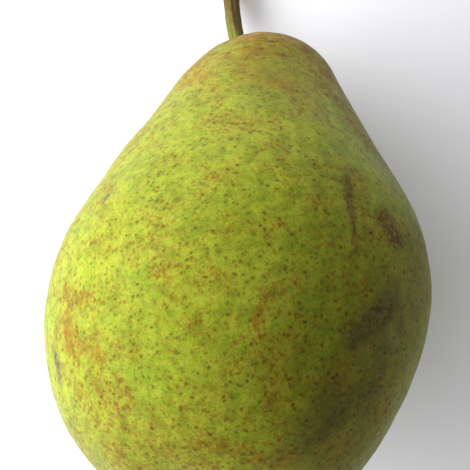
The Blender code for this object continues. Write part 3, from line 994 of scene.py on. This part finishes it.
class PEAR_OT_add_fruit(bpy.types.Operator):
    """Adds the fruit: a turned outline with low unevenness, in spotted waxy skin"""

    bl_idname = "pear.add_fruit"
    bl_label = "Add Fruit"

    def execute(self, context):
        sizes = context.scene.pear_sizes
        piece = add_piece("fruit_skin", [fruit_skin(sizes)])
        settle(piece, skin_finish(sizes, context.scene.pear_colours), "pear_skin", "fruit")
        return {"FINISHED"}


class PEAR_OT_add_stem(bpy.types.Operator):
    """Adds the stem: a ribbed tube with a flared foot and a thick broken end"""

    bl_idname = "pear.add_stem"
    bl_label = "Add Stem"

    def execute(self, context):
        sizes = context.scene.pear_sizes
        body, attributes = stem_skin(sizes)
        piece = add_piece("stem_wood", [body], attributes)
        settle(piece, stem_finish(sizes, context.scene.pear_colours), "stem_bark", "stem")
        return {"FINISHED"}


class PEAR_OT_add_sepals(bpy.types.Operator):
    """Adds the dried sepals around the eye, each one curled its own way"""

    bl_idname = "pear.add_sepals"
    bl_label = "Add Sepals"

    def execute(self, context):
        sizes = context.scene.pear_sizes
        material = dried_finish("dried_sepal", tuple(context.scene.pear_colours.sepal))
        for number in range(1, sizes.sepal_count + 1):
            piece = add_piece(f"dried_sepal_{number}", [sepal_skin(sizes, number)])
            settle(piece, material, "dried_sepal", f"sepal_{number}")
        return {"FINISHED"}


class PEAR_OT_add_stamens(bpy.types.Operator):
    """Adds the tuft of dried stamens in the middle of the eye"""

    bl_idname = "pear.add_stamens"
    bl_label = "Add Stamens"

    def execute(self, context):
        sizes = context.scene.pear_sizes
        piece = add_piece("dried_stamens", stamen_skins(sizes))
        material = dried_finish("dried_stamens", tuple(context.scene.pear_colours.stamen))
        settle(piece, material, "dried_stamens", "stamens")
        return {"FINISHED"}


def paper_finish(colours):
    """Matt white paper with a faint fibre."""
    paper = Finish("paper")
    cloud = paper.noise(paper.place, 60.0, 2.0, 0.5)
    fibre = paper.noise(paper.place, 0.9, 3.0, 0.6)
    greyer = tuple(0.97 * c for c in colours.paper)
    base = paper.mix(paper.span(cloud, 0.3, 0.7, 0.0, 0.5), colours.paper, greyer)
    return paper.done(Base_Color=base, Roughness=0.85, Normal=paper.bump(fibre, 0.03, 0.5))


class PEAR_OT_set_stage(bpy.types.Operator):
    """Sets the pale ground, the soft light from one side, the room's even light and the camera"""

    bl_idname = "pear.set_stage"
    bl_label = "Set Stage"

    def execute(self, context):
        scene = context.scene
        stage = scene.pear_stage
        mesh = bpy.data.meshes.new("ground")
        ways = ((-1, -1), (1, -1), (1, 1), (-1, 1))
        corners = [(x * PAPER_HALF_SIDE, y * PAPER_HALF_SIDE, -PAPER_DROP) for x, y in ways]
        mesh.from_pydata(corners, [], [(0, 1, 2, 3)])
        ground = bpy.data.objects.new("ground", mesh)
        scene.collection.objects.link(ground)
        mesh.materials.append(paper_finish(scene.pear_colours))

        window = bpy.data.lights.new("window", "AREA")
        window.shape = "RECTANGLE"
        window.size = stage.window_width
        window.size_y = stage.window_height
        window.energy = stage.window_power
        window.color = stage.window_colour
        lamp = bpy.data.objects.new("window", window)
        level = math.cos(stage.window_elevation) * stage.window_distance
        lamp.location = (
            level * math.cos(stage.window_heading),
            level * math.sin(stage.window_heading),
            math.sin(stage.window_elevation) * stage.window_distance,
        )
        lamp.rotation_euler = (-lamp.location).to_track_quat("-Z", "Y").to_euler()
        scene.collection.objects.link(lamp)

        world = bpy.data.worlds.new("room")
        world.use_nodes = True
        background = world.node_tree.nodes["Background"]
        background.inputs["Color"].default_value = (*stage.room_colour, 1.0)
        background.inputs["Strength"].default_value = stage.room_light
        scene.world = world

        lens = bpy.data.cameras.new("overhead")
        lens.sensor_width = SENSOR_WIDTH_MM
        lens.lens = stage.lens / MM
        lens.clip_start = NEAR_CLIP
        camera = bpy.data.objects.new("overhead", lens)
        camera.location = stage.camera_place
        camera.rotation_euler = (0.0, 0.0, stage.camera_roll)
        scene.collection.objects.link(camera)
        scene.camera = camera
        scene.view_settings.view_transform = "Standard"
        return {"FINISHED"}


class PEAR_PT_build(bpy.types.Panel):
    """Lists the pear's pieces and the stage"""

    bl_idname = "PEAR_PT_build"
    bl_label = "Green Pear"
    bl_space_type = "VIEW_3D"
    bl_region_type = "UI"
    bl_category = "Pear"

    def draw(self, context):
        layout = self.layout
        for operator in OPERATORS:
            layout.operator(operator.bl_idname)
        for group in (context.scene.pear_sizes, context.scene.pear_colours, context.scene.pear_stage):
            box = layout.box()
            for name in group.bl_rna.properties.keys():
                if name not in ("rna_type", "name"):
                    box.prop(group, name)


GROUPS = {"pear_sizes": PearSizes, "pear_colours": PearColours, "pear_stage": PearStage}
OPERATORS = (
    PEAR_OT_add_fruit,
    PEAR_OT_add_stem,
    PEAR_OT_add_sepals,
    PEAR_OT_add_stamens,
    PEAR_OT_set_stage,
)


def register():
    for kind in (*GROUPS.values(), *OPERATORS, PEAR_PT_build):
        bpy.utils.register_class(kind)
    for name, group in GROUPS.items():
        setattr(bpy.types.Scene, name, PointerProperty(type=group))


def unregister():
    for name in GROUPS:
        delattr(bpy.types.Scene, name)
    for kind in reversed((*GROUPS.values(), *OPERATORS, PEAR_PT_build)):
        bpy.utils.unregister_class(kind)


def main():
    register()
    bpy.ops.pear.add_fruit()
    bpy.ops.pear.add_stem()
    bpy.ops.pear.add_sepals()
    bpy.ops.pear.add_stamens()
    bpy.ops.pear.set_stage()
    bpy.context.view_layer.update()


if __name__ == "__main__":
    main()
